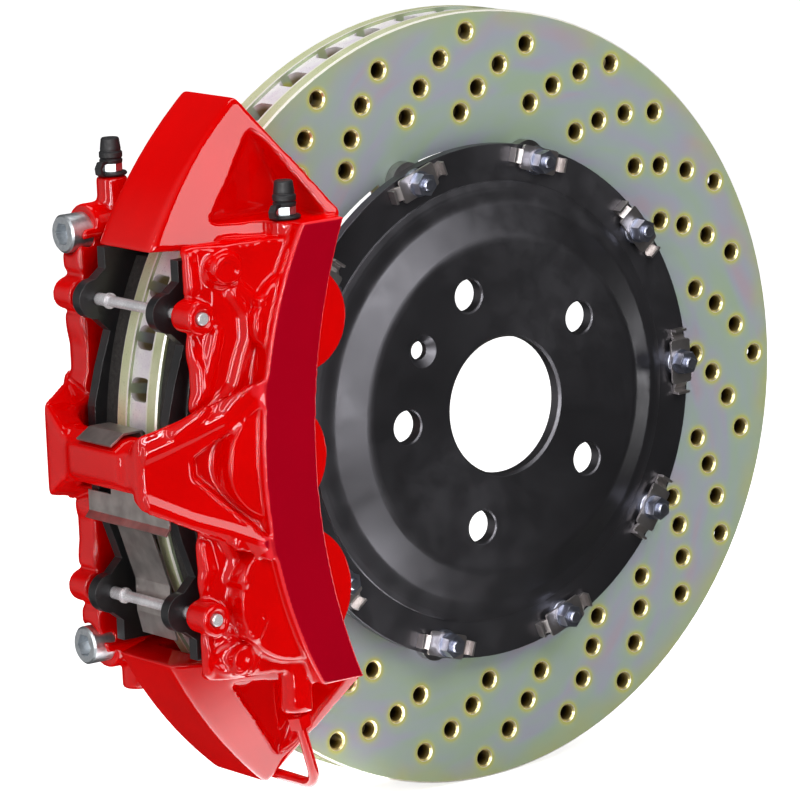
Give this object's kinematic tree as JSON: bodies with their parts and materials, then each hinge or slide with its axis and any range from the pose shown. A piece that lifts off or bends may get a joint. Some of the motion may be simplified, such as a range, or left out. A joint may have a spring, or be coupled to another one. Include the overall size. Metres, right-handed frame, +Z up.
{
  "type": "brake caliper with disc",
  "caption": "Two-piece drilled and vented floating brake disc on a bell hat, gripped by a red fixed caliper with opposed pistons, pads, pad pins and a spring clip.",
  "frame": {"origin": "centre of the hub bore, in the plane of the hat's face that seats on the hub", "axes": "+Y along the wheel axle towards the vehicle's centre (inboard), +Z up, +X away from the caliper"},
  "size_m": [0.4052, 0.135, 0.38],
  "materials": {
    "disc_steel": "iron friction ring, drilled, with a thin iridescent zinc passivate",
    "hat_black": "satin black anodised aluminium",
    "bobbin_steel": "machined steel",
    "zinc_steel": "zinc plated steel, slightly blue",
    "bright_stainless": "bright stamped stainless",
    "caliper_paint": "gloss red paint over cast aluminium, with a darker flat band",
    "seal_rubber": "matt black rubber",
    "cap_rubber": "matt black rubber",
    "pin_steel": "polished steel",
    "spring_stainless": "satin stainless strip",
    "pipe_paint": "gloss red paint over steel pipe",
    "piston_alloy": "hard anodised aluminium",
    "friction_compound": "pressed friction compound, speckled",
    "plate_black": "black powder coat on steel plate",
    "shim_steel": "bonded steel shim"
  },
  "bodies": {
    "caliper": {"caliper_body": "caliper_paint", "pad_pins": "pin_steel", "pad_spring": "spring_stainless", "piston_seals": "seal_rubber", "dust_boots": "seal_rubber", "crossover_pipe": "pipe_paint", "pipe_nuts": "pipe_paint", "mounting_bolts": "zinc_steel"},
    "rotor": {"hat": "hat_black", "bobbins": "bobbin_steel", "bobbin_bolts": "zinc_steel", "bobbin_washers": "zinc_steel", "retainer_clips": "bright_stainless", "bobbin_nuts": "zinc_steel"},
    "friction_ring": {"disc_ring": "disc_steel"},
    "pad_outboard": {"pad_plate_outboard": "plate_black", "pad_friction_outboard": "friction_compound", "pad_shim_outboard": "shim_steel"},
    "pad_inboard": {"pad_plate_inboard": "plate_black", "pad_friction_inboard": "friction_compound", "pad_shim_inboard": "shim_steel"},
    "bleeder_outboard": {"bleed_screw_outboard": "zinc_steel", "bleed_cap_outboard": "cap_rubber"},
    "bleeder_inboard": {"bleed_screw_inboard": "zinc_steel", "bleed_cap_inboard": "cap_rubber"},
    "piston_outboard_upper": {"piston_outboard_upper": "piston_alloy"},
    "piston_outboard_middle": {"piston_outboard_middle": "piston_alloy"},
    "piston_outboard_lower": {"piston_outboard_lower": "piston_alloy"},
    "piston_inboard_upper": {"piston_inboard_upper": "piston_alloy"},
    "piston_inboard_middle": {"piston_inboard_middle": "piston_alloy"},
    "piston_inboard_lower": {"piston_inboard_lower": "piston_alloy"}
  },
  "joints": [
    {"name": "disc_spin", "type": "hinge", "parent": "caliper", "child": "rotor", "pos_m": [0, 0, 0], "axis": [0, 1, 0], "continuous": true},
    {"name": "ring_float", "type": "slide", "parent": "rotor", "child": "friction_ring", "axis": [0, 1, 0], "range_m": [-0.0001, 0.0001]},
    {"name": "pad_apply", "type": "slide", "parent": "caliper", "child": "pad_outboard", "axis": [0, 1, 0], "range_m": [0, 0.0003]},
    {"name": "inboard_pad_apply", "type": "slide", "parent": "caliper", "child": "pad_inboard", "axis": [0, -1, 0], "range_m": [0, 0.0003]},
    {"name": "piston_outboard_upper_slide", "type": "slide", "parent": "caliper", "child": "piston_outboard_upper", "axis": [0, 1, 0], "range_m": [0, 0.0003]},
    {"name": "piston_outboard_middle_slide", "type": "slide", "parent": "caliper", "child": "piston_outboard_middle", "axis": [0, 1, 0], "range_m": [0, 0.0003]},
    {"name": "piston_outboard_lower_slide", "type": "slide", "parent": "caliper", "child": "piston_outboard_lower", "axis": [0, 1, 0], "range_m": [0, 0.0003]},
    {"name": "piston_inboard_upper_slide", "type": "slide", "parent": "caliper", "child": "piston_inboard_upper", "axis": [0, -1, 0], "range_m": [0, 0.0003]},
    {"name": "piston_inboard_middle_slide", "type": "slide", "parent": "caliper", "child": "piston_inboard_middle", "axis": [0, -1, 0], "range_m": [0, 0.0003]},
    {"name": "piston_inboard_lower_slide", "type": "slide", "parent": "caliper", "child": "piston_inboard_lower", "axis": [0, -1, 0], "range_m": [0, 0.0003]},
    {"name": "bleed_screw_outboard_turn", "type": "hinge", "parent": "caliper", "child": "bleeder_outboard", "pos_m": [-0.134, -0.0165, 0.11], "axis": [0, 0, 1], "range_deg": [0, 90]},
    {"name": "bleed_screw_inboard_turn", "type": "hinge", "parent": "caliper", "child": "bleeder_inboard", "pos_m": [-0.164, 0.0805, 0.125], "axis": [0, 0, 1], "range_deg": [0, 90]}
  ],
  "couplings": [
    {"joint": "inboard_pad_apply", "follows": "pad_apply", "ratio": 1},
    {"joint": "piston_outboard_upper_slide", "follows": "pad_apply", "ratio": 1},
    {"joint": "piston_outboard_middle_slide", "follows": "pad_apply", "ratio": 1},
    {"joint": "piston_outboard_lower_slide", "follows": "pad_apply", "ratio": 1},
    {"joint": "piston_inboard_upper_slide", "follows": "pad_apply", "ratio": 1},
    {"joint": "piston_inboard_middle_slide", "follows": "pad_apply", "ratio": 1},
    {"joint": "piston_inboard_lower_slide", "follows": "pad_apply", "ratio": 1}
  ]
}
